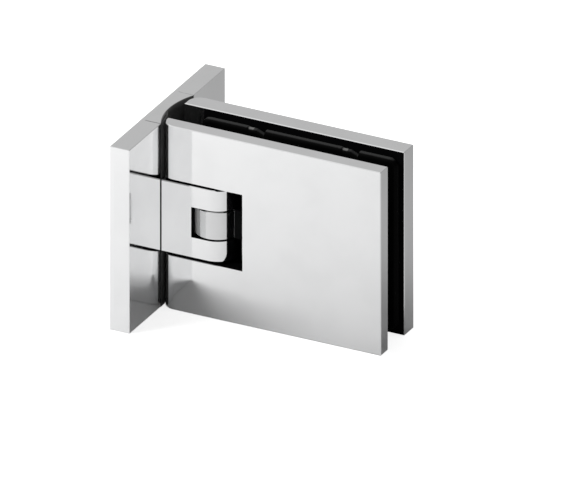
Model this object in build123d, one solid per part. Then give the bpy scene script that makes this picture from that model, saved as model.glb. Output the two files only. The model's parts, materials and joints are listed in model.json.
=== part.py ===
from build123d import *
from math import hypot, sqrt
import os

# A wall-to-glass door hinge. The wall side is a base plate with an arm that ends in two
# knuckles. The door side is a pair of clamp plates that grip the glass, and a leaf whose
# barrel turns between the knuckles. The frame: X points out from the wall along the closed
# door, Y from the front of the door to its back, Z up. The origin is the middle of the face
# that lies on the wall. The door opens one way, its far edge moving towards the front.

# ---------------------------------------------------------------- sizes, in millimetres

# The wall plate
plate_height = 90.0            # wall plate and clamp plates are equally tall
wall_plate_width = 93.0
base_thickness = 2.0
cover_depth = 7.65             # how far the covers stand off the base plate
cover_wall = 1.2
seam_gap = 0.12                # hairline between each cover and the bracket
root_groove_width = 0.4        # groove across the arm's root, beside the front cover
root_groove_depth = 1.0
wall_hole_radius = 3.25
wall_hole_spacing_z = 50.0

# The clamp plates and what they grip
clamp_reach = 118.5            # wall face to the far edge of the clamp plates
front_plate_thickness = 7.0
rear_plate_thickness = 9.0
plate_end_radius = 6.0         # rounding of the clamp plates' wall end
plate_end_share = 0.9          # the most of a plate's thickness that it may take
glass_thickness = 8.0
pad_thickness = 4.0
pad_top_margin = 3.0
pad_far_margin = 2.0
pad_wall_margin = 9.85
pad_corner_radius = 4.3

# The pivot
plate_tail = 23.05             # pivot to the wall end of the clamp plates
arm_height = 35.0
arm_rear_gap = 2.4             # arm to the rear clamp plate
barrel_height = 13.9
barrel_side_gap = 0.4          # barrel to the hollow behind it
barrel_end_gap = 0.45          # barrel to each knuckle
slot_half_width = 8.0          # pivot to the straight wall of the barrel slot
pin_diameter = 10.0
pin_recess = 0.5               # pin end below the knuckle's face
pin_flat_depth = 0.5
pin_flat_margin = 0.4          # flat to the lock screw that presses on it
press_clearance = 0.02
bush_running_clearance = 0.05
bush_wall = 1.2
flange_lip = 1.7
flange_thickness = 0.9
flange_stand = 0.3             # flange above the barrel's end

# The cut-out in the front clamp plate, round the arm
cutout_clearance = 1.2
cutout_side_gap = 6.8          # knuckle to the far edge of the cut-out

# The recess in the bracket and its rubber seal
recess_depth = 3.9
seal_wall = 0.8
seal_lobe_flat = 4.1           # level part of the seal's front lobe
seal_lobe_nose = -1.7          # pivot's level to the end of the lobe
seal_swing_gap = 0.5           # seal to the corner of the turning clamp plate
seal_window_gap = 0.2
seal_rib_width = 2.0
seal_rib_depth = 1.2
seal_rib_inset = 6.0           # rib to the side of the bracket
seal_rib_end_gap = 5.0         # rib's end to the top and bottom of the seal

# The leaf's core, which fills the notch in the glass, and the liner round it
core_length = 26.0
core_margin = 1.3              # core above the cut-out's edge
core_corner_radius = 3.0
web_fillet = 2.0
liner_gap = 0.5
liner_wall = 2.0
notch_gap = 0.5                # liner to the notch in the pads

# Locating lugs moulded in the pads' top and bottom edges, each with a dip beside it
lug_width = 8.2
lug_flat = 4.0
lug_drop = 0.5                 # top of the lug below the top of the pad
lug_dip = 1.8
lug_inset_wall = 27.2
lug_inset_far = 23.3

# Screws, as thread radius, head radius and length
bracket_thread = 2.5
bracket_head = 4.5
bracket_screw_length = 12.0
bracket_screw_pitch = 22.0
clamp_thread = 3.0
clamp_head = 5.0
clamp_head_height = 4.0
clamp_screw_length = 14.0
clamp_screw_pitch = 28.0
plate_thread = 2.5
plate_head = 4.25
plate_head_height = 5.0
plate_screw_length = 15.0
plate_screw_pitch = 11.0
cap_screw_sink = 0.4           # top of a cap screw's head below the face over it
lock_thread = 2.0
socket_share = 0.6             # hexagon of a countersunk head, as a share of the thread
thread_clearance = 0.05
hole_end_gap = 0.5

# The spring clips that hold the covers
clip_width = 12.0
clip_length = 16.0
clip_sheet = 0.6
clip_knee = 0.6
clip_knee_share = 0.6          # how far up its leg the knee stands
clip_top_gap = 0.5
clip_rib_gap = 0.1
rivet_radius = 1.5
rivet_head_radius = 2.4
rivet_head_height = 0.9

# Broken edges
edge_break = 0.35
fine_edge_break = 0.2
barrel_edge_break = 0.5

# ---------------------------------------------------------------- worked out from them

half_height = plate_height / 2
half_width = wall_plate_width / 2
wall_front = base_thickness + cover_depth
glass_gap = glass_thickness + 2 * pad_thickness
hinge_thickness = front_plate_thickness + glass_gap + rear_plate_thickness
front_face = -hinge_thickness / 2
front_inner = front_face + front_plate_thickness
rear_inner = front_inner + glass_gap
rear_face = hinge_thickness / 2
plate_end = wall_front

recess_radius = (rear_face ** 2 + recess_depth ** 2) / (2 * recess_depth)
recess_middle = wall_front - recess_depth + recess_radius

arm_thickness = front_plate_thickness + glass_gap - arm_rear_gap
knuckle_radius = arm_thickness / 2
pivot_x = plate_end + plate_tail
pivot_y = front_face + knuckle_radius
arm_rear = front_face + arm_thickness
arm_half = arm_height / 2
barrel_half = barrel_height / 2
slot_half = barrel_half + barrel_end_gap
pin_radius = pin_diameter / 2
bush_bore = pin_radius + bush_running_clearance
bush_radius = bush_bore + bush_wall
flange_radius = bush_radius + flange_lip
lock_height = (slot_half + arm_half) / 2

cutout_half = arm_half + cutout_clearance
cutout_end = pivot_x + knuckle_radius + cutout_side_gap
core_half = cutout_half + core_margin
core_end = cutout_end + core_length
core_middle = (cutout_end + core_end) / 2
liner_half = core_half + liner_gap + liner_wall
liner_end = core_end + liner_gap + liner_wall
notch_half = liner_half + notch_gap
notch_end = liner_end + notch_gap

pad_start = plate_end + pad_wall_margin
pad_end = clamp_reach - pad_far_margin
pad_half = half_height - pad_top_margin
lug_starts = (pad_start + lug_inset_wall - lug_width / 2,
              pad_end - lug_inset_far - lug_width / 2)

wing_middle = (rear_face + half_width) / 2
wall_hole_y = wing_middle
wall_hole_z = wall_hole_spacing_z / 2
cover_floor = wall_front - cover_wall
PAST = 1.0                     # how far a cutter runs past what it cuts
NEAR = 0.01                    # how near counts as the same place


# ---------------------------------------------------------------- simple shapes

def block(x0, x1, y0, y1, z0, z1):
    """A block between two opposite corners."""
    middle = Pos((x0 + x1) / 2, (y0 + y1) / 2, (z0 + z1) / 2)
    return middle * Box(x1 - x0, y1 - y0, z1 - z0)


def upright(radius, x, y, z0, z1):
    """A round bar along Z."""
    return Pos(x, y, (z0 + z1) / 2) * Cylinder(radius, z1 - z0)


def crosswise(radius, x, z, y0, y1):
    """A round bar along Y."""
    return Pos(x, (y0 + y1) / 2, z) * Rot(X=90) * Cylinder(radius, y1 - y0)


def outward(radius, y, z, x0, x1):
    """A round bar along X."""
    return Pos((x0 + x1) / 2, y, z) * Rot(Y=90) * Cylinder(radius, x1 - x0)


def raised(outline, z0, z1):
    """A plan outline in X and Y, made solid between two heights."""
    return Pos(0, 0, z0) * extrude(make_face(outline), z1 - z0, dir=(0, 0, 1))


def turned(points):
    """A solid turned round Z from the points (radius, height) of its half section."""
    section = make_face(Polyline(points, close=True))
    return revolve(Plane.XZ * section, Axis.Z)


def slab(x0, x1, half, corner, y0, y1, corners="all"):
    """A flat slab that faces Y, from z = -half to half, with round corners."""
    body = block(x0, x1, y0, y1, -half, half)
    edges = body.edges().filter_by(Axis.Y)
    if corners == "far":
        edges = edges.group_by(Axis.X)[-1]
    return fillet(edges, corner)


def countersunk_screw(thread, head, length, place):
    """A countersunk socket screw: its head lies in the place's plane."""
    body = turned([(0, 0), (head, 0), (thread, thread - head), (thread, -length), (0, -length)])
    hexagon = RegularPolygon(thread * socket_share, 6, major_radius=False)
    return place * (body - extrude(hexagon, -head / 2))


def countersunk_hole(thread, head, depth, place):
    """The hole that such a screw goes in."""
    wide = head + thread_clearance
    narrow = thread + thread_clearance
    cutter = turned([(0, PAST), (wide, PAST), (wide, 0), (narrow, thread - head),
                     (narrow, -depth), (0, -depth)])
    return place * cutter


def cap_screw(thread, head, head_height, length, place):
    """A socket cap screw: the top of its head lies in the place's plane."""
    tip = -head_height - length
    body = turned([(0, 0), (head, 0), (head, -head_height), (thread, -head_height),
                   (thread, tip), (0, tip)])
    hexagon = RegularPolygon(head / 2, 6, major_radius=False)
    return place * (body - extrude(hexagon, -head_height / 2))


def cap_screw_hole(thread, head, head_height, length, place):
    """The stepped hole that such a screw goes in."""
    wide = head + thread_clearance
    narrow = thread + thread_clearance
    end = -head_height - length - hole_end_gap
    cutter = turned([(0, PAST), (wide, PAST), (wide, -head_height), (narrow, -head_height),
                     (narrow, end), (0, end)])
    return place * cutter


def facing_wall(y, z):
    """A place on the wall face, with its axis towards the wall."""
    return Plane(origin=(0, y, z), x_dir=(0, 1, 0), z_dir=(-1, 0, 0))


def facing_back(x, y, z):
    """A place whose axis points to the back of the door."""
    return Plane(origin=(x, y, z), x_dir=(1, 0, 0), z_dir=(0, 1, 0))


# ---------------------------------------------------------------- the wall side

bracket_screw_places = [
    facing_wall(pivot_y, -bracket_screw_pitch / 2),
    facing_wall(pivot_y, bracket_screw_pitch / 2),
]


def wall_base_plate():
    """The plate that is screwed to the wall, with all its holes."""
    plate = block(0, base_thickness, -half_width, half_width, -half_height, half_height)
    plate = chamfer(plate.edges().filter_by(Axis.X), fine_edge_break)
    for place in bracket_screw_places:
        plate -= countersunk_hole(bracket_thread, bracket_head, base_thickness + PAST, place)
    for side in (-1, 1):
        for level in (-1, 1):
            plate -= outward(wall_hole_radius, side * wall_hole_y, level * wall_hole_z,
                             -PAST, base_thickness + PAST)
        plate -= outward(rivet_radius, side * wing_middle, 0, -PAST, base_thickness + PAST)
    return plate


def recess_x(y, thickness=0.0):
    """How far from the wall the hollow recess lies at y, or a skin of some thickness on it."""
    return recess_middle - sqrt((recess_radius - thickness) ** 2 - y ** 2)


def seal_ribs(play):
    """The two ribs that hold the seal in the bracket, or with some play their grooves."""
    ribs = []
    half = seal_rib_width / 2 + play
    end = half_height - seal_rib_end_gap + play
    for side in (-1, 1):
        y = side * (rear_face - seal_rib_inset)
        ribs.append(block(recess_x(y) - seal_rib_depth - play, recess_x(y) + seal_wall / 2,
                          y - half, y + half, -end, end))
    return ribs


def hinge_bracket():
    """One casting: the grooved centre block, the arm and its two knuckles."""
    front_end = (wall_front, front_face)
    rear_end = (wall_front, rear_face)
    outline = [
        Polyline(front_end, (base_thickness, front_face), (base_thickness, rear_face), rear_end),
        ThreePointArc(front_end, (recess_x(0), 0), rear_end),
    ]
    centre = raised(outline, -half_height, half_height)
    for groove in seal_ribs(thread_clearance):
        centre -= groove

    arm_root = base_thickness + recess_depth / 2
    arm_plan = Pos((arm_root + pivot_x) / 2, pivot_y) * Rectangle(pivot_x - arm_root, arm_thickness)
    arm_plan += Pos(pivot_x, pivot_y) * Circle(knuckle_radius)
    arm = Pos(0, 0, -arm_half) * extrude(arm_plan, arm_height)
    rims = arm.edges().group_by(Axis.Z)
    arm = chamfer(rims[0] + rims[-1], edge_break)

    slot = block(pivot_x - slot_half_width, pivot_x + knuckle_radius + PAST,
                 front_face - PAST, arm_rear + PAST, -slot_half, slot_half)
    slot += upright(knuckle_radius + barrel_side_gap, pivot_x, pivot_y, -slot_half, slot_half)
    arm -= slot

    bracket = centre + arm
    bracket -= block(wall_front, wall_front + root_groove_width, front_face - PAST,
                     front_face + root_groove_depth, -arm_half - PAST, arm_half + PAST)
    bracket -= upright(pin_radius + press_clearance, pivot_x, pivot_y,
                       -arm_half - PAST, arm_half + PAST)
    for level in (-1, 1):
        bracket -= crosswise(lock_thread + thread_clearance, pivot_x, level * lock_height,
                             pivot_y, arm_rear + PAST)
    for place in bracket_screw_places:
        bracket -= countersunk_hole(bracket_thread, bracket_head,
                                    bracket_screw_length + hole_end_gap, place)
    return bracket


def bracket_screws():
    """Two screws from the wall face through the base plate into the arm's root."""
    return [
        countersunk_screw(bracket_thread, bracket_head, bracket_screw_length, place)
        for place in bracket_screw_places
    ]


def wing_cover(side):
    """A hollow cover, open towards the wall, with two ribs that the clip grips."""
    inner_side = rear_face + seam_gap
    shell = block(base_thickness, wall_front, inner_side, half_width, -half_height, half_height)
    shell = chamfer(shell.edges().filter_by(Axis.X) + shell.edges().group_by(Axis.X)[-1],
                    fine_edge_break)
    shell -= block(base_thickness - PAST, cover_floor, inner_side + cover_wall,
                   half_width - cover_wall, -half_height + cover_wall, half_height - cover_wall)
    rib_face = clip_width / 2 + clip_knee + clip_rib_gap
    for hand in (-1, 1):
        y0 = wing_middle + hand * rib_face
        y1 = y0 + hand * cover_wall
        shell += block(base_thickness + clip_sheet + clip_rib_gap, cover_floor + cover_wall / 2,
                       min(y0, y1), max(y0, y1), -clip_length / 2, clip_length / 2)
    if side < 0:
        shell = mirror(shell, Plane.XZ)
    return shell


def cover_clip(side):
    """A spring clip bent from sheet: a flat foot and two legs with outward knees."""
    middle = side * wing_middle
    foot = base_thickness + clip_sheet
    top = cover_floor - clip_top_gap
    knee_x = foot + clip_knee_share * (top - foot)
    half = clip_width / 2
    outer = [(base_thickness, half), (foot, half), (knee_x, half + clip_knee), (top, half)]
    inner = [(x, y - clip_sheet) for x, y in reversed(outer[1:])]
    right = [(x, middle + y) for x, y in outer + inner]
    left = [(x, middle - y) for x, y in reversed(outer + inner)]
    profile = Polyline(right + left, close=True)
    clip = raised(profile, -clip_length / 2, clip_length / 2)
    return clip - outward(rivet_radius, middle, 0, 0, foot + PAST)


def clip_rivets():
    """One rivet holds each clip on the base plate, and the cover's ribs keep it straight."""
    foot = base_thickness + clip_sheet
    rivet = turned([(0, 0), (rivet_radius, 0), (rivet_radius, foot), (rivet_head_radius, foot),
                    (rivet_head_radius, foot + rivet_head_height), (0, foot + rivet_head_height)])
    return [
        Plane(origin=(0, side * wing_middle, 0), x_dir=(0, 1, 0), z_dir=(1, 0, 0)) * rivet
        for side in (-1, 1)
    ]


def recess_seal():
    """A moulded strip in the recess. Its front lobe stays clear of the turning clamp plate."""
    corner_y = front_face + plate_end_round(front_plate_thickness) - pivot_y
    sweep = hypot(plate_tail, corner_y) + seal_swing_gap

    def swept(y):
        return (pivot_x - sqrt(sweep ** 2 - (y - pivot_y) ** 2), y)

    def thin(y):
        return (recess_x(y, seal_wall), y)

    front_end = (wall_front, front_face)
    rear_end = (wall_front, rear_face)
    flat_end = front_face + seal_lobe_flat
    nose = pivot_y + seal_lobe_nose
    root = nose + recess_depth
    thin_end = rear_face - seal_wall
    outline = [
        ThreePointArc(rear_end, (recess_x(0), 0), front_end),
        Line(front_end, swept(flat_end)),
        ThreePointArc(swept(flat_end), swept((flat_end + nose) / 2), swept(nose)),
        Line(swept(nose), thin(root)),
        ThreePointArc(thin(root), thin((root + thin_end) / 2), thin(thin_end)),
        Line(thin(thin_end), rear_end),
    ]
    strip = raised(outline, -half_height, half_height)
    for rib in seal_ribs(0):
        strip += rib
    window = arm_half + seal_window_gap
    strip -= block(0, pivot_x, front_face - PAST, arm_rear + seal_window_gap, -window, window)
    return strip


def hinge_pin():
    """The pin, with a flat for each lock screw."""
    end = arm_half - pin_recess
    pin = upright(pin_radius, pivot_x, pivot_y, -end, end)
    flat = lock_thread + pin_flat_margin
    for level in (-lock_height, lock_height):
        pin -= block(pivot_x - pin_radius, pivot_x + pin_radius,
                     pivot_y + pin_radius - pin_flat_depth, pivot_y + pin_radius + PAST,
                     level - flat, level + flat)
    return pin


def pin_lock_screws():
    """A headless screw behind each knuckle, its end on the pin's flat."""
    start = pivot_y + pin_radius - pin_flat_depth
    end = arm_rear - pin_recess
    screws = []
    for level in (-lock_height, lock_height):
        screw = crosswise(lock_thread, pivot_x, level, start, end)
        hexagon = RegularPolygon(lock_thread / 2, 6, major_radius=False)
        screw -= facing_back(pivot_x, end, level) * extrude(hexagon, -lock_thread)
        screws.append(screw)
    return screws


# ---------------------------------------------------------------- the door side

clamp_screw = (clamp_thread, clamp_head, clamp_head_height, clamp_screw_length)
clamp_screw_places = [
    facing_back(core_middle, rear_face - cap_screw_sink, -clamp_screw_pitch / 2),
    facing_back(core_middle, rear_face - cap_screw_sink, clamp_screw_pitch / 2),
]
plate_screw = (plate_thread, plate_head, plate_head_height, plate_screw_length)
plate_screw_places = [
    facing_back(core_middle, rear_inner - cap_screw_sink, -plate_screw_pitch / 2),
    facing_back(core_middle, rear_inner - cap_screw_sink, plate_screw_pitch / 2),
]


def plate_end_round(thickness):
    """The rounding of a clamp plate's wall end, which leaves a flat beside the gap."""
    return min(plate_end_radius, plate_end_share * thickness)


def pad_lug_cuts(y0, y1):
    """What is cut from a pad beside its lugs: each lug's low top and the dip after it."""
    top = pad_half - lug_drop
    cuts = []
    for x0 in lug_starts:
        outline = Polyline((x0, top), (x0 + lug_flat, top), (x0 + lug_width, top - lug_dip),
                           (x0 + lug_width, pad_half + PAST), (x0, pad_half + PAST), close=True)
        upper = Pos(0, y0 - PAST, 0) * extrude(Plane.XZ * make_face(outline),
                                               y1 - y0 + 2 * PAST, dir=(0, 1, 0))
        cuts += [upper, mirror(upper, Plane.XY)]
    return cuts


def clamp_plate(inner, outer):
    """A clamp plate with a rounded wall end and broken edges."""
    low = min(inner, outer)
    high = max(inner, outer)
    plate = block(plate_end, clamp_reach, low, high, -half_height, half_height)

    def standing_at(x, y):
        return plate.edges().filter_by(Axis.Z).sort_by(
            lambda edge: hypot(edge.center().X - x, edge.center().Y - y)
        )[0]

    plate = fillet(standing_at(plate_end, outer), plate_end_round(high - low))
    rims = plate.faces().filter_by(Axis.Z).edges()
    rims += [standing_at(clamp_reach, low), standing_at(clamp_reach, high)]
    return chamfer(rims, edge_break)


def front_clamp_plate():
    """The front plate, cut out round the arm, with blind threads behind its plain face."""
    plate = clamp_plate(front_inner, front_face)
    plate -= block(plate_end - PAST, cutout_end, front_face - PAST, front_inner + PAST,
                   -cutout_half, cutout_half)
    cut_rims = plate.faces().sort_by(Axis.Y)[0].edges().filter_by(
        lambda edge: abs(edge.center().Z) < cutout_half + edge_break
        and edge.center().X < cutout_end + edge_break
    )
    plate = chamfer(cut_rims, fine_edge_break)
    for place in plate_screw_places:
        plate -= cap_screw_hole(*plate_screw, place)
    return plate


def rear_clamp_plate():
    """The rear plate, with stepped holes for the clamp screws."""
    plate = clamp_plate(rear_inner, rear_face)
    for place in clamp_screw_places:
        plate -= cap_screw_hole(*clamp_screw, place)
    return plate


def glass_pad(inner, direction):
    """A pad between a clamp plate and the glass, notched for the core, with its lugs."""
    far = inner + direction * pad_thickness
    y0 = min(inner, far)
    y1 = max(inner, far)
    pad = slab(pad_start, pad_end, pad_half, pad_corner_radius, y0, y1)
    pad -= slab(pad_start - core_length, notch_end, notch_half,
                core_corner_radius + liner_gap + liner_wall + notch_gap, y0 - PAST, y1 + PAST)
    for cut in pad_lug_cuts(y0, y1):
        pad -= cut
    return pad


def notch_liner():
    """A moulded channel that keeps the glass's notch off the metal core."""
    inside = core_corner_radius + liner_gap
    liner = slab(pad_start, liner_end, liner_half, inside + liner_wall, front_inner, rear_inner, "far")
    liner -= slab(pad_start - core_length, core_end + liner_gap, core_half + liner_gap, inside,
                  front_inner - PAST, rear_inner + PAST)
    return liner


def door_leaf():
    """One casting: the barrel, the web through the cut-out and the core in the notch."""
    barrel = upright(knuckle_radius, pivot_x, pivot_y, -barrel_half, barrel_half)
    barrel = chamfer(barrel.edges().filter_by(GeomType.CIRCLE), barrel_edge_break)
    web = block(pivot_x, core_middle, front_inner, arm_rear, -barrel_half, barrel_half)
    core = slab(cutout_end, core_end, core_half, core_corner_radius, front_inner, rear_inner, "far")
    body = core + web
    roots = body.edges().filter_by(Axis.Y).filter_by(
        lambda edge: abs(edge.center().X - cutout_end) < NEAR
        and abs(abs(edge.center().Z) - barrel_half) < NEAR
    )
    body = fillet(roots, web_fillet)
    body += barrel
    body -= upright(bush_radius, pivot_x, pivot_y, -barrel_half - PAST, barrel_half + PAST)
    sink = flange_thickness - flange_stand
    for level in (-1, 1):
        z0 = level * (barrel_half - sink)
        z1 = level * (barrel_half + PAST)
        body -= upright(flange_radius, pivot_x, pivot_y, min(z0, z1), max(z0, z1))
    for place in clamp_screw_places:
        body -= cap_screw_hole(*clamp_screw, place)
    for place in plate_screw_places:
        body -= cap_screw_hole(*plate_screw, place)
    return body


def bush(level):
    """A flanged bush: its sleeve lines the barrel and its flange rubs on the knuckle."""
    top = barrel_half + flange_stand
    under = top - flange_thickness
    start = barrel_end_gap
    points = [(bush_bore, start), (bush_radius, start), (bush_radius, under),
              (flange_radius, under), (flange_radius, top), (bush_bore, top)]
    ring = turned(points)
    if level < 0:
        ring = mirror(ring, Plane.XY)
    return Pos(pivot_x, pivot_y, 0) * ring


def clamp_screws():
    """Two cap screws from the rear plate into the core."""
    return [cap_screw(*clamp_screw, place) for place in clamp_screw_places]


def front_plate_screws():
    """Two cap screws from inside the core, which hold the front plate on it."""
    return [cap_screw(*plate_screw, place) for place in plate_screw_places]


# ---------------------------------------------------------------- writing the pieces

pieces = {
    "wall_base_plate": wall_base_plate(),
    "hinge_bracket": hinge_bracket(),
    "bracket_screws": bracket_screws(),
    "front_wing_cover": wing_cover(-1),
    "rear_wing_cover": wing_cover(1),
    "front_cover_clip": cover_clip(-1),
    "rear_cover_clip": cover_clip(1),
    "clip_rivets": clip_rivets(),
    "recess_seal": recess_seal(),
    "hinge_pin": hinge_pin(),
    "pin_lock_screws": pin_lock_screws(),
    "front_clamp_plate": front_clamp_plate(),
    "rear_clamp_plate": rear_clamp_plate(),
    "front_glass_pad": glass_pad(front_inner, 1),
    "rear_glass_pad": glass_pad(rear_inner, -1),
    "notch_liner": notch_liner(),
    "door_leaf": door_leaf(),
    "upper_bush": bush(1),
    "lower_bush": bush(-1),
    "clamp_screws": clamp_screws(),
    "front_plate_screws": front_plate_screws(),
}

os.makedirs("parts", exist_ok=True)
for name, shape in pieces.items():
    if isinstance(shape, list):
        shape = Compound(children=shape)
    shape.label = name
    export_step(shape, f"parts/{name}.step")
    print(name, round(shape.volume, 1))
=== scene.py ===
# %% [markdown]
# # A glass door hinge in polished chrome
#
# The hinge is a wall plate with an arm, and two square clamp plates that swing on the arm's
# pin and grip a sheet of glass. Its solids come from a CAD program and are loaded here as a
# fixed frame. This script gives them their finishes, adds the moulded pieces that CAD shows
# too plainly, and sets up the stage, the lamps and the camera.

# %% The frame
import json
import math

import bpy
import numpy as np
from mathutils import Matrix, Vector

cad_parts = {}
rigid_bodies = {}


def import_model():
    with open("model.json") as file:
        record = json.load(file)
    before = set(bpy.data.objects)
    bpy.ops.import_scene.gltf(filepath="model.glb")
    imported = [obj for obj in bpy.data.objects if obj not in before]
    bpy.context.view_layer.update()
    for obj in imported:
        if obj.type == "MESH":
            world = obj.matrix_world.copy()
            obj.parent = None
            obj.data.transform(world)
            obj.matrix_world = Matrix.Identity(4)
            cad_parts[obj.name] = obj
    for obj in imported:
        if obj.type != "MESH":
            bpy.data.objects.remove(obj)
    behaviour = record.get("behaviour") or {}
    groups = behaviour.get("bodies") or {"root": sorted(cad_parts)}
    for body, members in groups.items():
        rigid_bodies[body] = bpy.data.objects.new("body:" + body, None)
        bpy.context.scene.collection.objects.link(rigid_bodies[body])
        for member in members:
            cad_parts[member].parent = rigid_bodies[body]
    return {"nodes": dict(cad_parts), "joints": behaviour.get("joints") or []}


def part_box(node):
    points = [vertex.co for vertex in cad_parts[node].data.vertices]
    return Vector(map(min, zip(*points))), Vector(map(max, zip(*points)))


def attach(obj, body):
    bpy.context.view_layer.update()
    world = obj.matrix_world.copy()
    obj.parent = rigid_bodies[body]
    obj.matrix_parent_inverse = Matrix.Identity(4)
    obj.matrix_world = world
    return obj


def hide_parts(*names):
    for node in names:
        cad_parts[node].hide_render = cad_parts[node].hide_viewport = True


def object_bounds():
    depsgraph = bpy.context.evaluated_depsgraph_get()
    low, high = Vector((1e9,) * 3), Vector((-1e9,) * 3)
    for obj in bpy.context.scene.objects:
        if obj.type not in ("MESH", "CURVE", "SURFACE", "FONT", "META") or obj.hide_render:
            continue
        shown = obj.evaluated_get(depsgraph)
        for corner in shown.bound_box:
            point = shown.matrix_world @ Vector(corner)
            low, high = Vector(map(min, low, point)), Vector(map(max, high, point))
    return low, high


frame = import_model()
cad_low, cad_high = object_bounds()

MM = 0.001
nodes = frame["nodes"]
joint = frame["joints"][0]
print("box in mm:", [round(c / MM, 1) for c in (*cad_low, *cad_high)])
print("joint:", joint["name"], "turns", joint["child"], "on", joint["parent"])

# %% [markdown]
# ## The camera
#
# Catalogue pictures of fittings are drawn without perspective, so that parallel edges stay
# parallel. Blender's orthographic camera does that. A camera needs three directions: right,
# up and back, towards the viewer. They are the columns of its rotation matrix. Two angles
# give all three: how far the camera has gone round the hinge, and how high it stands.

# %% The camera
CAMERA_TURN = math.radians(27.0)
CAMERA_HEIGHT = math.radians(26.1)
CAMERA_FIELD = 249.9 * MM
CAMERA_DISTANCE = 2.5
AIM_RIGHT = 55.42 * MM
AIM_UP = -19.1 * MM

right = Vector((math.cos(CAMERA_TURN), math.sin(CAMERA_TURN), 0))
back = Vector((
    math.sin(CAMERA_TURN) * math.cos(CAMERA_HEIGHT),
    -math.cos(CAMERA_TURN) * math.cos(CAMERA_HEIGHT),
    math.sin(CAMERA_HEIGHT),
))
up = back.cross(right)
camera = bpy.data.objects.new("camera", bpy.data.cameras.new("camera"))
camera.data.type = "ORTHO"
camera.data.ortho_scale = CAMERA_FIELD
camera.data.clip_end = 10
camera.matrix_world = Matrix.Translation(
    right * AIM_RIGHT + up * AIM_UP + back * CAMERA_DISTANCE
) @ Matrix((right, up, back)).transposed().to_4x4()
bpy.context.scene.collection.objects.link(camera)
bpy.context.scene.camera = camera
bpy.context.scene.view_settings.view_transform = "Standard"
print("camera looks along", [round(-c, 3) for c in back])

# %% [markdown]
# ## Writing shaders as sums
#
# A material in Blender is a graph of nodes, and a graph of fifty nodes made by hand is hard
# to read. Here a small class wraps a node's output socket and gives it the signs of
# arithmetic, so that `0.04 + 0.05 * cloud` adds the two Math nodes that it needs. The
# second class holds a material's tree and makes any other node with one method.

# %% Sockets with arithmetic
class Sock:
    """An output socket that can be added, subtracted, multiplied and raised to a power."""

    def __init__(self, finish, socket):
        self.finish = finish
        self.socket = socket

    def maths(self, operation, *values):
        return self.finish.node("Math", {"operation": operation}, dict(enumerate(values)))

    def __add__(self, other):
        return self.maths("ADD", self, other)

    def __mul__(self, other):
        return self.maths("MULTIPLY", self, other)

    def __sub__(self, other):
        return self.maths("SUBTRACT", self, other)

    def __rsub__(self, other):
        return self.maths("SUBTRACT", other, self)

    def __pow__(self, other):
        return self.maths("POWER", self, other)

    __radd__ = __add__
    __rmul__ = __mul__

    def size(self):
        return self.maths("ABSOLUTE", self)

    def sine(self):
        return self.maths("SINE", self)

    def at_least(self, low):
        return self.maths("MAXIMUM", self, low)

    def under(self, limit):
        """1 where the value is under the limit, else 0."""
        return self.maths("LESS_THAN", self, limit)

    def over(self, limit):
        """1 where the value is over the limit, else 0."""
        return self.maths("GREATER_THAN", self, limit)

    def stretch(self, low, high, to_low=0.0, to_high=1.0):
        """Maps low..high to to_low..to_high, smoothly and no further."""
        return self.finish.node(
            "MapRange",
            {"interpolation_type": "SMOOTHSTEP"},
            {"Value": self, "From Min": low, "From Max": high, "To Min": to_low, "To Max": to_high},
        )


class Finish:
    """A material or world, and the one method that makes its nodes."""

    def __init__(self, name, holder=None):
        self.holder = holder or bpy.data.materials.new(name)
        self.holder.use_nodes = True
        self.tree = self.holder.node_tree
        self.tree.nodes.clear()

    def node(self, kind, settings=None, inputs=None, out=0):
        """A node of a kind: its settings first, then the values or links of its sockets."""
        made = self.tree.nodes.new("ShaderNode" + kind)
        for key, value in (settings or {}).items():
            setattr(made, key, value)
        for key, value in (inputs or {}).items():
            if isinstance(value, Sock):
                self.tree.links.new(value.socket, made.inputs[key])
            else:
                made.inputs[key].default_value = value
        return Sock(self, made.outputs[out])

    def place(self, stretch=(1, 1, 1), centre=(0, 0, 0)):
        """Object coordinates, moved to a centre and then stretched."""
        coords = self.node("TexCoord", out="Object")
        moved = self.node("VectorMath", {"operation": "SUBTRACT"}, {0: coords, 1: centre})
        return self.node("VectorMath", {"operation": "MULTIPLY"}, {0: moved, 1: stretch})

    def axes(self, vector):
        """The three numbers of a vector."""
        return [self.node("SeparateXYZ", inputs={"Vector": vector}, out=i) for i in range(3)]

    def cloud(self, scale, detail=2.0, stretch=(1, 1, 1)):
        """Soft noise from 0 to 1 with scale lumps to a metre."""
        return self.node(
            "TexNoise", inputs={"Vector": self.place(stretch), "Scale": scale, "Detail": detail}
        )

    def tint(self, mask, first, second):
        """The first colour where the mask is 0 and the second where it is 1."""
        first, second = (c if isinstance(c, Sock) else (*c, 1) for c in (first, second))
        return self.node("Mix", {"data_type": "RGBA"}, {0: mask, 6: first, 7: second}, out=2)

    def bump(self, height, distance, strength=1.0, under=None):
        """A normal that follows a height of 0 to 1 times a distance in metres."""
        inputs = {"Height": height, "Distance": distance, "Strength": strength}
        if under:
            inputs["Normal"] = under
        return self.node("Bump", inputs=inputs)

    def surface(self, **inputs):
        """The Principled surface and the output. Names take _ for a space."""
        named = {key.replace("_", " "): value for key, value in inputs.items()}
        shader = self.node("BsdfPrincipled", inputs=named)
        self.output(shader)
        return self.holder

    def output(self, shader, kind="OutputMaterial"):
        end = self.tree.nodes.new("ShaderNode" + kind)
        self.tree.links.new(shader.socket, end.inputs["Surface"])


print("sockets can be added, subtracted, multiplied and raised to a power")
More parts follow.
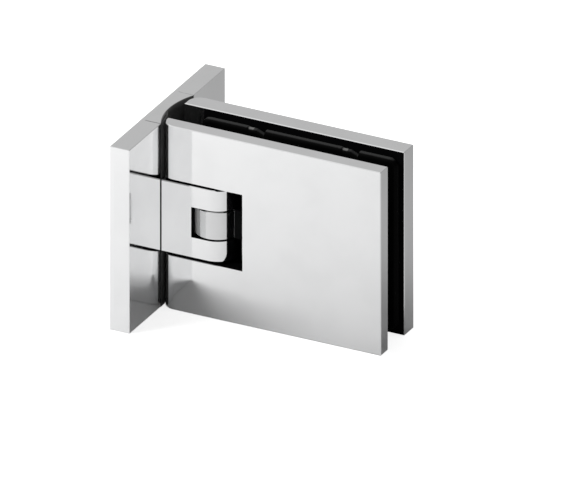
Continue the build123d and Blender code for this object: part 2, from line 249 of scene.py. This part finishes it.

# %% [markdown]
# ## The stage
#
# Chrome has no colour of its own: it shows what is round it. So the stage matters more here
# than any material. The hinge's upright faces show the floor, and its level faces show the
# sky. The floor is a wide pale sheet, and its colour has painted shade that darkens it towards
# the back right. A lamp lights it, so the hinge's shadow falls on it, and the chrome shows that
# shadow. The floor also glows, by one amount to the camera, which makes the background white,
# and by another to mirrors, but only well away from the hinge.

# %% Grids and the floor
def flat_grid(name, points):
    """A mesh from an array of points u by v: each cell of the grid becomes one flat face."""
    rows, columns = points.shape[:2]
    index = np.arange(rows * columns).reshape(rows, columns)
    corners = (index[:-1, :-1], index[1:, :-1], index[1:, 1:], index[:-1, 1:])
    faces = np.stack(corners, axis=-1).reshape(-1, 4)
    return mesh_piece(name, points.reshape(-1, 3), faces.tolist(), False)


def mesh_piece(name, points, faces, smooth):
    """An object at the origin with these points and faces."""
    mesh = bpy.data.meshes.new(name)
    mesh.from_pydata(points.tolist(), [], faces)
    mesh.polygons.foreach_set("use_smooth", np.full(len(mesh.polygons), smooth))
    mesh.update()
    piece = bpy.data.objects.new(name, mesh)
    bpy.context.scene.collection.objects.link(piece)
    return piece


FLOOR_HALF = 3.0
FLOOR_LINES = 13
FLOOR_GAP = 0.02 * MM
floor_level = cad_low.z - FLOOR_GAP
along = np.linspace(-FLOOR_HALF, FLOOR_HALF, FLOOR_LINES)
floor_u, floor_v = np.meshgrid(along, along, indexing="ij")
floor = flat_grid(
    "floor", np.stack([floor_u, floor_v, np.full_like(floor_u, floor_level)], axis=-1)
)
print("floor at", round(floor_level / MM, 2), "mm")

# %% The floor's paint
FLOOR_WHITE = (0.86, 0.86, 0.86)
FLOOR_PAINTED_SHADE = (0.50, 0.50, 0.50)
SHADE_TOWARDS = (0.45, 0.89)
SHADE_REACH = (-0.06, 0.17)
GLOW_NEAR = 0.70
GLOW_REACH = (0.10, 0.45)
SHADE_GLOW = 0.3
MIRROR_GLOW = 0.55
MIRROR_REACH = (0.30, 0.90)
paint = Finish("floor_paint")
floor_x, floor_y, _ = paint.axes(paint.place())
# Painted shade: the floor's colour darkens towards the back right, and the camera's glow grows
# there by SHADE_GLOW so that the background stays white.
shade = (SHADE_TOWARDS[0] * floor_x + SHADE_TOWARDS[1] * floor_y).stretch(*SHADE_REACH)
reach = (floor_x * floor_x + floor_y * floor_y) ** 0.5
seen_by_camera = paint.node("LightPath", out="Is Camera Ray")
seen_in_metal = paint.node("LightPath", out="Is Glossy Ray")
seen_in_glass = paint.node("LightPath", out="Is Transmission Ray")
camera_glow = reach.stretch(*GLOW_REACH, GLOW_NEAR, 1.0) + SHADE_GLOW * shade
mirror_glow = reach.stretch(*MIRROR_REACH, 0.0, MIRROR_GLOW)
glow = seen_by_camera * camera_glow + (seen_in_metal + seen_in_glass) * mirror_glow
matt = paint.node("BsdfDiffuse", inputs={"Color": paint.tint(shade, FLOOR_WHITE, FLOOR_PAINTED_SHADE)})
glowing = paint.node("Emission", inputs={"Color": (1, 1, 1, 1), "Strength": glow})
paint.output(paint.node("AddShader", inputs={0: matt, 1: glowing}))
floor.data.materials.append(paint.holder)
print("floor glows", GLOW_NEAR, "near the hinge and 1.0 further out to the camera")

# %% [markdown]
# ## The lamps
#
# One large soft box stands to the front left, close enough that its light falls off across
# the floor. The front faces then show bright floor, and the faces that look to the right
# show the dimmer floor behind, dimmed partly by that falloff and partly by the painted shade
# in the floor's colour. The sky is a soft grade: brighter to the back left, where the level
# faces look, and darker to the right. To mirrors alone it has one more soft lobe, and to the
# camera it is plain white.

# %% The soft box and the sky
BOX_TURN = math.radians(58.5)
BOX_HEIGHT = math.radians(48)
BOX_DISTANCE = 1.1
BOX_SIDE = 0.64
BOX_WATTS = 11.15
towards_box = Vector((
    -math.sin(BOX_TURN) * math.cos(BOX_HEIGHT),
    -math.cos(BOX_TURN) * math.cos(BOX_HEIGHT),
    math.sin(BOX_HEIGHT),
))
soft_box = bpy.data.objects.new("soft_box", bpy.data.lights.new("soft_box", "AREA"))
soft_box.data.shape = "SQUARE"
soft_box.data.size = BOX_SIDE
soft_box.data.energy = BOX_WATTS
soft_box.location = towards_box * BOX_DISTANCE
soft_box.rotation_mode = "QUATERNION"
soft_box.rotation_quaternion = (-towards_box).to_track_quat("-Z", "Y")
soft_box.visible_glossy = False
bpy.context.scene.collection.objects.link(soft_box)

SKY_BASE = 0.28
SKY_GRADE = 0.40
SKY_LEAST = 0.05
SKY_TOWARDS = (-0.5, 0.5, 0.7)
LOBE_TOWARDS = (-0.41, -0.44, 0.80)
LOBE_REACH = (0.55, 0.95)
LOBE_LIGHT = 0.5
world = bpy.data.worlds.new("sky")
bpy.context.scene.world = world
sky = Finish("sky", world)
sky_direction = sky.node("TexCoord", out="Generated")


def sky_towards(direction):
    """How far the sky's direction points towards another, as a cosine."""
    return sky.node(
        "VectorMath", {"operation": "DOT_PRODUCT"}, {0: sky_direction, 1: direction}, out="Value"
    )


sky_light = (SKY_BASE + SKY_GRADE * sky_towards(SKY_TOWARDS)).at_least(SKY_LEAST)
lobe = sky_towards(LOBE_TOWARDS).stretch(*LOBE_REACH, 0.0, LOBE_LIGHT)
sky_seen = sky.node("LightPath", out="Is Camera Ray")
sky_in_metal = sky.node("LightPath", out="Is Glossy Ray")
sky.output(
    sky.node("Background", inputs={
        "Strength": sky_light + sky_seen * (1 - sky_light) + sky_in_metal * lobe
    }),
    "OutputWorld",
)
print("soft box of", BOX_SIDE, "m at", [round(c, 3) for c in soft_box.location])

# %% [markdown]
# ## Polished chrome
#
# The castings and covers are brass, polished and plated with nickel and chrome. The metal
# shows faint clouds of gloss from handling, a very slight waviness from the polishing wheel
# and hair-fine polishing lines. Chrome is a mirror, so its colour stays almost constant,
# and only its roughness and normal vary.
#
# Two liberties are taken for the picture, and neither is a known finish of such a hinge. The
# gaps get painted shade: their colour is painted near black, so that they stay dark, and so
# that the plates show no reflection of the pads: the walls of the knuckles' slot, the leaf but
# for its barrel, the seams beside the covers, the walls of the cut-out, and the clamp plates'
# inner faces along the pads. The side of the barrel towards the wall is dulled, because it
# would mirror that painted black. Each mask is worked out from the place on the piece, which
# Object coordinates give in metres.

# %% Polished chrome
CHROME_DARK = (0.895, 0.898, 0.902)
CHROME_LIGHT = (0.925, 0.928, 0.932)
# Painted shade: the near-black colour and the gloss of the masked gaps.
PAINTED_SHADE_BLACK = (0.0035, 0.0035, 0.004)
PAINTED_SHADE_GLOSS = 0.05
DULL_ROUGHNESS = 0.45
DULL_SHARE = 0.92


def polished_chrome(name, painted_shade=None, shades=(CHROME_DARK, CHROME_LIGHT), dulled=None):
    """Mirror metal: clouds in the gloss, waves 9 mm long and polishing lines."""
    finish = Finish(name)
    handled = finish.cloud(55, 3).stretch(0.35, 0.7)
    lines = finish.cloud(900, 2, (1, 1, 0.04))
    waves = finish.cloud(110, 1)
    wavy = finish.bump(waves, 0.0010 * MM)
    lined = finish.bump(lines, 0.0006 * MM, 0.5, wavy)
    colour = finish.tint(handled, shades[1], shades[0])
    rough = 0.045 + 0.035 * handled + 0.015 * lines
    metal = 1.0
    if dulled:
        dull = dulled(finish)
        rough = rough + 0.05 + DULL_ROUGHNESS * dull
        metal = metal - DULL_SHARE * dull
    # Painted shade: where the mask is 1, the colour is painted near black and the metal goes dull.
    if painted_shade:
        painted_black = painted_shade(finish)
        colour = finish.tint(painted_black, colour, PAINTED_SHADE_BLACK)
        rough = rough + painted_black * (0.40 + 0.1 * handled)
        metal = metal * (1 - painted_black)
    return finish.surface(
        Base_Color=colour, Metallic=metal, Roughness=rough, Normal=lined,
        Specular_IOR_Level=PAINTED_SHADE_GLOSS,
    )


print("blackened faces have a Specular IOR Level of", PAINTED_SHADE_GLOSS, "where 0.5 is usual")

# %% Where shade is painted on the metal
PIVOT = Vector(joint["pos_m"])
SKIN = 0.02 * MM
SEAM_LIP = 0.15 * MM
DULL_REACH = (-5.1 * MM, -3.6 * MM)
CUT_OUT_BREAK = 0.22 * MM
CORE_LENGTH = 26.0 * MM
CORE_MARGIN = 1.3 * MM
BARREL_DARK = (0.72, 0.722, 0.726)
BARREL_LIGHT = (0.76, 0.762, 0.766)
BARREL_REACH = 10.33 * MM
SLOT_LEVEL = 7.43 * MM
SLOT_BACK = 8.02 * MM
GROOVE_DEPTH = 1.05 * MM
GROOVE_WIDTH = 0.45 * MM
covers_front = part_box("front_wing_cover")[1].x
covers_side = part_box("rear_wing_cover")[0].y
hinge_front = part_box("front_clamp_plate")[0].y
hinge_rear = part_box("rear_clamp_plate")[1].y
gap_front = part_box("front_clamp_plate")[1].y
gap_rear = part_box("rear_clamp_plate")[0].y
pads_wall_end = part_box("rear_glass_pad")[0].x
leaf_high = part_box("door_leaf")[1]


def off_the_barrel(finish):
    """1 further from the pin's axis than the barrel's surface."""
    x, y, _ = finish.axes(finish.place(centre=PIVOT))
    return ((x * x + y * y) ** 0.5).over(BARREL_REACH)


def turned_in_side(finish):
    """1 on the side of the barrel towards the wall, and 0 on the side away from it."""
    x = finish.axes(finish.place(centre=PIVOT))[0]
    return x.stretch(*DULL_REACH, 1.0, 0.0)


def slot_groove_and_seams(finish):
    """1 inside the knuckles' slot, in the groove at the arm's root, and on the block's sides."""
    x, y, z = finish.axes(finish.place())
    slot = z.size().under(SLOT_LEVEL) * x.over(PIVOT.x - SLOT_BACK)
    root = x.under(covers_front + GROOVE_WIDTH) * x.over(covers_front - SKIN)
    depth = y - hinge_front
    groove = root * depth.over(SKIN) * depth.under(GROOVE_DEPTH)
    sides = y.size().over(hinge_rear - SKIN) * x.under(covers_front - SKIN)
    return (slot + groove + sides).over(0.5)


def seam_side(finish):
    """1 on the side of a cover that faces the bracket."""
    return finish.axes(finish.place())[1].size().under(covers_side + SEAM_LIP)


def pad_seats_and_cut_out(finish):
    """1 on the clamp plates' inner faces along the pads, and on the walls of the cut-out."""
    x, y, z = finish.axes(finish.place())
    seats = y.over(gap_front - SKIN) * y.under(gap_rear + SKIN) * x.over(pads_wall_end)
    before_core = x.under(leaf_high.x - CORE_LENGTH + SKIN)
    inside = before_core * z.size().under(leaf_high.z - CORE_MARGIN + SKIN)
    walls = inside * y.over(hinge_front + CUT_OUT_BREAK) * y.under(gap_front)
    return (seats + walls).over(0.5)


# Each mask above says where shade is painted into the chrome's colour.
clamp_chrome = polished_chrome("clamp_chrome", pad_seats_and_cut_out)
cover_chrome = polished_chrome("cover_chrome", seam_side)
bracket_chrome = polished_chrome("bracket_chrome", slot_groove_and_seams)
barrel_chrome = polished_chrome(
    "barrel_chrome", off_the_barrel, (BARREL_DARK, BARREL_LIGHT), turned_in_side
)
print("blackened beyond", round(BARREL_REACH / MM, 1), "mm of the pin, and inside the slot")

# %% [markdown]
# ## The base plate
#
# The base plate is plated like the covers, and its polished edge shows as a thin strip
# behind them. The face that lies on the wall is only brushed. The finish is told apart by
# the direction that the surface faces, which the object's own normal gives.

# %% Plated plate with a brushed face
def plated_plate():
    """Polished on its edges and brushed in long lines on the face that meets the wall."""
    finish = Finish("plated_plate")
    facing = finish.axes(finish.node("TexCoord", out="Normal"))[0]
    brushed = facing.size().stretch(0.7, 0.9)
    grain = finish.cloud(1600, 3, (1, 1, 0.02))
    patches = finish.cloud(40, 2)
    colour = finish.tint(brushed * (0.5 + 0.5 * grain), CHROME_LIGHT, (0.56, 0.56, 0.57))
    return finish.surface(
        Base_Color=colour,
        Metallic=1.0,
        Roughness=0.05 + brushed * (0.2 + 0.12 * grain + 0.08 * patches),
        Normal=finish.bump(brushed * grain, 0.02 * MM, 0.6),
    )


plate_metal = plated_plate()
print(plate_metal.name, "has", len(plate_metal.node_tree.nodes), "nodes")

# %% [markdown]
# ## Turned steel
#
# Screws, rivets and the pin are turned on a lathe, which leaves fine rings round their
# axis. Two screws share one mesh, so their axes are found by folding: the distance from
# the middle of the group is made positive and the half pitch is taken off, and then each
# screw's axis is at zero. A shank carries a thread: waves along the axis, shown only at the
# thread's own radius.

# %% Turned steel
RING_PITCH = 0.35 * MM
RING_DEPTH = 0.004 * MM
THREAD_BAND = 0.12 * MM
THREAD_DEPTH = 0.25 * MM
STAINED = 0.82


def turned_steel(name, middle, half_pitch, across, colour, rough, thread=None):
    """Rings round each axis of a group, and waves along the axis at a thread's radius.

    A thread is given as its radius and its pitch, in millimetres.
    """
    finish = Finish(name)
    place = finish.axes(finish.place(centre=middle))
    first = place[across[0]].size() - half_pitch[0]
    second = place[across[1]].size() - half_pitch[1]
    radius = (first * first + second * second) ** 0.5
    rings = 0.5 + 0.5 * (radius * (2 * math.pi / RING_PITCH)).sine()
    stain = finish.cloud(260, 3).stretch(0.3, 0.75)
    dark = tuple(STAINED * c for c in colour)
    normal = finish.bump(rings, RING_DEPTH, 0.7)
    if thread:
        along = place[3 - across[0] - across[1]]
        waves = 0.5 + 0.5 * (along * (2 * math.pi / (thread[1] * MM))).sine()
        shank = (radius - thread[0] * MM).size().under(THREAD_BAND)
        normal = finish.bump(waves * shank, THREAD_DEPTH, 0.9, normal)
    return finish.surface(
        Base_Color=finish.tint(stain, colour, dark),
        Metallic=1.0,
        Roughness=rough + 0.1 * stain + 0.05 * rings,
        Normal=normal,
    )


def group_middle(name):
    """The middle of a node's box."""
    low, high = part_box(name)
    return (low + high) / 2


STEEL = (0.55, 0.55, 0.545)
DARK_STEEL = (0.3, 0.3, 0.31)
GROUND_STEEL = (0.62, 0.62, 0.61)
CLAMP_HALF_PITCH = 14 * MM
BRACKET_HALF_PITCH = 11 * MM
PLATE_HALF_PITCH = 5.5 * MM
lock_low, lock_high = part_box("pin_lock_screws")
lock_pitch = lock_high.z - lock_low.z - (lock_high.x - lock_low.x)
rivet_low, rivet_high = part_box("clip_rivets")
rivet_pitch = rivet_high.y - rivet_low.y - (rivet_high.z - rivet_low.z)
clamp_steel = turned_steel(
    "clamp_screw_steel", group_middle("clamp_screws"),
    (0, CLAMP_HALF_PITCH), (0, 2), STEEL, 0.22, (3.0, 1.0),
)
bracket_steel = turned_steel(
    "bracket_screw_steel", group_middle("bracket_screws"),
    (0, BRACKET_HALF_PITCH), (1, 2), STEEL, 0.24, (2.5, 0.8),
)
plate_screw_steel = turned_steel(
    "plate_screw_steel", group_middle("front_plate_screws"),
    (0, PLATE_HALF_PITCH), (0, 2), STEEL, 0.24, (2.5, 0.8),
)
lock_steel = turned_steel(
    "lock_screw_steel", group_middle("pin_lock_screws"),
    (0, lock_pitch / 2), (0, 2), DARK_STEEL, 0.3, (2.0, 0.7),
)
rivet_steel = turned_steel(
    "rivet_steel", group_middle("clip_rivets"), (rivet_pitch / 2, 0), (1, 2), STEEL, 0.28
)
pin_steel = turned_steel(
    "pin_steel", group_middle("hinge_pin"), (0, 0), (0, 1), GROUND_STEEL, 0.14
)
print("six turned finishes from one function")

# %% [markdown]
# ## Spring steel
#
# The clips that hold the covers are bent from blued strip. Rolling leaves a grain along the
# strip, and tempering leaves a straw and blue tint that changes slowly over the piece.

# %% Spring steel
def blued_spring_steel():
    """Tempered strip: slow straw-to-blue clouds over a rolled grain along the strip."""
    finish = Finish("blued_spring_steel")
    temper = finish.cloud(120, 2).stretch(0.35, 0.65)
    rolled = finish.cloud(1400, 2, (1, 0.05, 1))
    return finish.surface(
        Base_Color=finish.tint(temper, (0.30, 0.27, 0.22), (0.16, 0.18, 0.24)),
        Metallic=1.0,
        Roughness=0.3 + 0.12 * rolled,
        Normal=finish.bump(rolled, 0.01 * MM, 0.5),
    )


clip_steel = blued_spring_steel()
print(clip_steel.name, "has", len(clip_steel.node_tree.nodes), "nodes")

# %% [markdown]
# ## Black mouldings
#
# The pads and the seal are black rubber, the notch liner and the bushes hard plastic. All
# are near black, but not flat. Rubber carries a fine matt grain and a grey bloom in slow
# clouds. Along a pad's crown a highlight is painted paler into the colour, brightest on the
# lugs, and on the seal's level ends shade is painted darker; both are told by the direction
# that the surface faces. Plastic is smoother and takes a soft highlight.

# %% Rubber and plastic
def moulded_black(name, deep, bloom, rough, grain_scale, grain_height, gloss=0.5, painted_light=None):
    """Near-black moulding: a fine grain, a paler bloom in slow clouds, and, if given, painted light
    by facing.
    """
    finish = Finish(name)
    clouds = finish.cloud(70, 3).stretch(0.35, 0.75)
    grain = finish.cloud(grain_scale, 2)
    colour = finish.tint(clouds, (deep,) * 3, (bloom,) * 3)
    if painted_light:
        colour = painted_light(finish, colour, 0.75 + 0.25 * grain)
    return finish.surface(
        Base_Color=colour,
        Roughness=rough + 0.12 * clouds - 0.06 * grain,
        Specular_IOR_Level=gloss,
        Normal=finish.bump(grain, grain_height, 0.8),
    )


# Painted highlight colours for the pads' crowns and lugs, and painted shade for the seal's ends.
PAINTED_PAD_HIGHLIGHT = (0.046, 0.046, 0.046)
PAINTED_LUG_HIGHLIGHT = (0.20, 0.20, 0.195)
LUG_STARTS = (23.1 * MM, 69.6 * MM)
LUG_FLAT = 4.0 * MM
LUG_HIGHLIGHT_SPAN = 2.7 * MM
SEAL_END_SHADE = (0.0015, 0.0015, 0.0015)


def painted_crown_highlight(finish, colour, grain):
    """A painted highlight along the crown of the top and bottom edges, brightest on the lugs."""
    facing = finish.axes(finish.node("TexCoord", out="Normal"))[2].size()
    crown = facing.stretch(0.72, 0.99) * grain
    x = finish.axes(finish.place(centre=(pads_wall_end, 0, 0)))[0]
    lugs = [x.over(start) * x.under(start + LUG_HIGHLIGHT_SPAN) for start in LUG_STARTS]
    highlight_colour = finish.tint(lugs[0] + lugs[1], PAINTED_PAD_HIGHLIGHT, PAINTED_LUG_HIGHLIGHT)
    return finish.tint(crown, colour, highlight_colour)


def painted_shade_on_ends(finish, colour, grain):
    """Painted shade: darker on the level ends, the faces that look up and down."""
    facing = finish.axes(finish.node("TexCoord", out="Normal"))[2].size()
    return finish.tint(facing.stretch(0.85, 0.97) * grain, colour, SEAL_END_SHADE)


pad_rubber = moulded_black(
    "pad_rubber", 0.0015, 0.0025, 0.50, 2600, 0.010 * MM, 0.04, painted_crown_highlight
)
seal_rubber = moulded_black(
    "seal_rubber", 0.075, 0.105, 0.34, 2200, 0.008 * MM, 0.15, painted_shade_on_ends
)
liner_plastic = moulded_black("liner_plastic", 0.002, 0.004, 0.40, 1800, 0.008 * MM, 0.1)
bush_plastic = moulded_black("bush_nylon", 0.016, 0.024, 0.30, 1500, 0.006 * MM)
print("mouldings:", *(m.name for m in (pad_rubber, seal_rubber, liner_plastic, bush_plastic)))

# %% [markdown]
# ## The glass pads
#
# A pad's rim is drawn not square but as a full round, 2 mm in radius, from one flat face to
# the other. It has a notch for the leaf's core, and two lugs in its top and bottom rims, each
# with a dip beside it. The rim is a surface of two parameters: how far round the outline a
# point is, and how far round the half circle. The two flat faces close it.

# %% A rounded outline
def rounded_outline(corners, radii, arc_points, line_points):
    """A closed plan of straight runs and round corners, and the outward direction at each point.

    A corner of radius r starts r before it. Its points stand r from the arc's centre in the
    outward direction, which turns from that of the run before to that of the run after.
    """
    runs = np.roll(corners, -1, axis=0) - corners
    after = runs / np.linalg.norm(runs, axis=1, keepdims=True)
    before = np.roll(after, 1, axis=0)
    bend = np.sign(before[:, 0] * after[:, 1] - before[:, 1] * after[:, 0])[:, None]
    outward_before = np.stack([before[:, 1], -before[:, 0]], axis=1)
    outward_after = np.stack([after[:, 1], -after[:, 0]], axis=1)
    reach = radii[:, None]
    centres = corners - before * reach - bend * outward_before * reach
    angle = np.linspace(0, math.pi / 2, arc_points)[None, :, None]
    outward = outward_before[:, None] * np.cos(angle) + outward_after[:, None] * np.sin(angle)
    arcs = centres[:, None] + (bend * reach)[:, None] * outward
    ahead = np.roll(arcs[:, 0], -1, axis=0)
    share = np.linspace(0, 1, line_points + 2)[None, 1:-1, None]
    lines = arcs[:, -1][:, None] * (1 - share) + ahead[:, None] * share
    line_outward = np.repeat(outward_after[:, None], line_points, axis=1)
    points = np.concatenate([arcs, lines], axis=1).reshape(-1, 2)
    return points, np.concatenate([outward, line_outward], axis=1).reshape(-1, 2)


square = np.array([[-1.0, -1], [1, -1], [1, 1], [-1, 1]])
print("a rounded square has", len(rounded_outline(square, np.full(4, 0.3), 9, 4)[0]), "points")

# %% The pads
PAD_CORNER = 4.3 * MM
MOUTH_CORNER = 2.2 * MM
NOTCH_CORNER = 6.0 * MM
NOTCH_PLAY = 0.5 * MM
LUG_END = 8.0 * MM
LUG_STEP = 0.15 * MM
LUG_DROP = 0.5 * MM
DIP_DEPTH = 1.68 * MM
RIM_STEPS = 13
ARC_POINTS = 13
LINE_POINTS = 240


def crowned_pad(name, box):
    """The rim stands at the outline, less the pad's half thickness times 1 - cos of the angle
    round the half circle. The lugs and dips lower the top and bottom rims."""
    low, high = box
    middle = (low.y + high.y) / 2
    half = (high.y - low.y) / 2
    liner_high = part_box("notch_liner")[1]
    notch_end = liner_high.x + NOTCH_PLAY
    notch_top = liner_high.z + NOTCH_PLAY
    corners = np.array([
        (low.x, low.z), (high.x, low.z), (high.x, high.z), (low.x, high.z),
        (low.x, notch_top), (notch_end, notch_top), (notch_end, -notch_top), (low.x, -notch_top),
    ])
    radii = np.array([PAD_CORNER] * 4 + [MOUTH_CORNER, NOTCH_CORNER, NOTCH_CORNER, MOUTH_CORNER])
    outline, outward = rounded_outline(corners, radii, ARC_POINTS, LINE_POINTS)
    turn = np.linspace(math.pi / 2, -math.pi / 2, RIM_STEPS)
    inset = half * (1 - np.cos(turn))
    plan = outline[:, None] - outward[:, None] * inset[None, :, None]
    x, z = plan[..., 0], plan[..., 1]
    drop = np.zeros_like(x)
    steps = np.array([-LUG_STEP, LUG_STEP, LUG_FLAT, LUG_END, LUG_END + 3 * LUG_STEP])
    drops = [0, LUG_DROP, LUG_DROP, LUG_DROP + DIP_DEPTH, 0]
    for start in LUG_STARTS:
        drop += np.interp(x, low.x + start + steps, drops)
    on_rims = np.abs(outline[:, 1]) > high.z - LUG_DROP
    z = z - np.sign(z) * drop * on_rims[:, None]
    y = np.broadcast_to(middle + half * np.sin(turn), x.shape)
    rows = len(outline)
    index = np.arange(rows * RIM_STEPS).reshape(rows, RIM_STEPS)
    ahead = np.roll(index, -1, axis=0)
    cells = np.stack([index[:, :-1], ahead[:, :-1], ahead[:, 1:], index[:, 1:]], axis=-1)
    rim = cells.reshape(-1, 4)
    sides = [index[::-1, 0].tolist(), index[:, -1].tolist()]
    points = np.stack([x, y, z], axis=-1).reshape(-1, 3)
    pad = mesh_piece(name, points, rim.tolist() + sides, True)
    pad.data.materials.append(pad_rubber)
    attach(pad, "door_side")
    return pad


for side in ("front", "rear"):
    pad = crowned_pad(side + "_crowned_pad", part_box(side + "_glass_pad"))
    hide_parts(side + "_glass_pad")
    print(pad.name, "has", len(pad.data.polygons), "faces")

# %% [markdown]
# ## The recess seal
#
# The strip in the recess is one moulding: a thin skin over the hollow, with a thick lobe
# along the front that nearly touches the clamp plate as it swings by. It could be drawn as a
# profile and carried up, but the arm passes through it, so it is made as two surfaces over
# one grid of widths and heights. Cells behind the arm are left out, and a wall joins the two
# surfaces all round. The CAD solid's rear lip stands a little past the covers. Here it is
# trimmed level with them, and the strip stops 0.2 mm short at each side.

# %% Two surfaces over a grid
def walled_sheet(name, front, back, keep):
    """Front and back surfaces over one grid, with walls wherever a kept cell ends.

    The front's faces turn with the grid, the back's against it. An edge between a kept
    cell and one left out, or the grid's border, gets one wall face.
    """
    rows, columns = front.shape[:2]
    index = np.arange(rows * columns).reshape(rows, columns)
    far = index + rows * columns
    corner = (index[:-1, :-1], index[1:, :-1], index[1:, 1:], index[:-1, 1:])
    cells = np.stack(corner, axis=-1)[keep]
    ring = np.pad(keep, 1)
    walls = []
    for step, (first, second) in zip(
        (ring[1:-1, :-2], ring[2:, 1:-1], ring[1:-1, 2:], ring[:-2, 1:-1]),
        ((0, 1), (1, 2), (2, 3), (3, 0)),
    ):
        bare = keep & ~step
        start, end = corner[first][bare], corner[second][bare]
        walls.append(np.stack([end, start, far.ravel()[start], far.ravel()[end]], axis=-1))
    faces = np.concatenate([cells, (cells + rows * columns)[:, ::-1], *walls])
    used, renumbered = np.unique(faces, return_inverse=True)
    points = np.concatenate([front.reshape(-1, 3), back.reshape(-1, 3)])[used]
    return mesh_piece(name, points, renumbered.reshape(-1, 4).tolist(), True)


# %% The seal
RECESS_DEPTH = 3.9 * MM
SKIN_THICKNESS = 0.8 * MM
LOBE_FLAT = 4.1 * MM
LOBE_NOSE = 1.7 * MM
SWING_GAP = 0.5 * MM
WINDOW_GAP = 0.2 * MM
RIB_HALF = 1.0 * MM
RIB_DEPTH = 1.2 * MM
RIB_INSET = 6.0 * MM
RIB_STOP = 5.0 * MM
RIB_SLOPE = 0.1 * MM
PLATE_TAIL = 23.05 * MM
PLATE_ROUND = 6.0 * MM
EDGE_MARGIN = 0.2 * MM
WIDTH_LINES = 81
HEIGHT_LINES = 31
ARM_REAR = 4.6 * MM
ARM_HALF = 17.5 * MM

recess_radius = (hinge_rear ** 2 + RECESS_DEPTH ** 2) / (2 * RECESS_DEPTH)
recess_middle = covers_front - RECESS_DEPTH + recess_radius
sweep = math.hypot(PLATE_TAIL, hinge_front + PLATE_ROUND - PIVOT.y) + SWING_GAP


def recess_at(y, thickness=0.0):
    """The hollow's arc at a width y, or a skin of some thickness on it."""
    return recess_middle - np.sqrt((recess_radius - thickness) ** 2 - y ** 2)


def seal_front(y):
    """The lobe is an arc about the pin, and a slope leads to the skin.

    No point passes the covers' front.
    """
    flat_end = hinge_front + LOBE_FLAT
    nose = PIVOT.y - LOBE_NOSE
    root = nose + RECESS_DEPTH
    on_sweep = PIVOT.x - np.sqrt(sweep ** 2 - (y - PIVOT.y) ** 2)
    sweep_start = PIVOT.x - math.sqrt(sweep ** 2 - (flat_end - PIVOT.y) ** 2)
    sweep_end = PIVOT.x - math.sqrt(sweep ** 2 - LOBE_NOSE ** 2)
    skin = recess_at(y, SKIN_THICKNESS)
    knots = [hinge_front, flat_end, nose, root]
    depths = [covers_front, sweep_start, sweep_end, recess_at(root, SKIN_THICKNESS)]
    straight = np.interp(y, knots, depths)
    lobe = np.where((y > flat_end) & (y < nose), on_sweep, straight)
    strip = np.where(y < root, lobe, skin)
    return np.minimum(strip, covers_front)


window = ARM_HALF + WINDOW_GAP
window_side = ARM_REAR + WINDOW_GAP
rib_middle = hinge_rear - RIB_INSET
rib_end = cad_high.z - RIB_STOP
rib_steps = (-RIB_HALF, -RIB_HALF + RIB_SLOPE, RIB_HALF - RIB_SLOPE, RIB_HALF)
rib_edges = [side * rib_middle + step for side in (-1, 1) for step in rib_steps]
widths = np.unique(np.concatenate([
    np.linspace(hinge_front + EDGE_MARGIN, hinge_rear - EDGE_MARGIN, WIDTH_LINES),
    rib_edges, [window_side],
]))
heights = np.unique(np.concatenate([
    np.linspace(cad_low.z, cad_high.z, HEIGHT_LINES), [-window, window],
    [-rib_end, -rib_end + RIB_SLOPE, rib_end - RIB_SLOPE, rib_end],
]))
y, z = np.meshgrid(widths, heights, indexing="ij")
rib_reach = RIB_HALF - RIB_SLOPE / 2
on_rib = (np.abs(np.abs(y) - rib_middle) < rib_reach) & (np.abs(z) < rib_end - RIB_SLOPE / 2)
front = np.stack([seal_front(y), y, z], axis=-1)
rear = np.stack([recess_at(y) - RIB_DEPTH * on_rib, y, z], axis=-1)
cell_y = (widths[1:] + widths[:-1]) / 2
cell_z = (heights[1:] + heights[:-1]) / 2
keep = (cell_y[:, None] > window_side) | (np.abs(cell_z)[None, :] > window)
seal = walled_sheet("moulded_seal", front, rear, keep)
seal.data.materials.append(seal_rubber)
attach(seal, "wall_side")
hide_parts("recess_seal")
thickest = float((front - rear)[..., 0].max())
print("seal:", len(seal.data.polygons), "faces, thickest", round(thickest / MM, 1), "mm")

# %% Dressing the solids
dress = {
    cover_chrome: ("front_wing_cover", "rear_wing_cover"),
    clamp_chrome: ("front_clamp_plate", "rear_clamp_plate"),
    bracket_chrome: ("hinge_bracket",),
    barrel_chrome: ("door_leaf",),
    plate_metal: ("wall_base_plate",),
    clamp_steel: ("clamp_screws",),
    bracket_steel: ("bracket_screws",),
    plate_screw_steel: ("front_plate_screws",),
    lock_steel: ("pin_lock_screws",),
    rivet_steel: ("clip_rivets",),
    pin_steel: ("hinge_pin",),
    clip_steel: ("front_cover_clip", "rear_cover_clip"),
    liner_plastic: ("notch_liner",),
    bush_plastic: ("upper_bush", "lower_bush"),
}
for finish, names in dress.items():
    for name in names:
        nodes[name].material_slots[0].material = finish
print("dressed", sum(len(names) for names in dress.values()), "of", len(nodes), "solids")
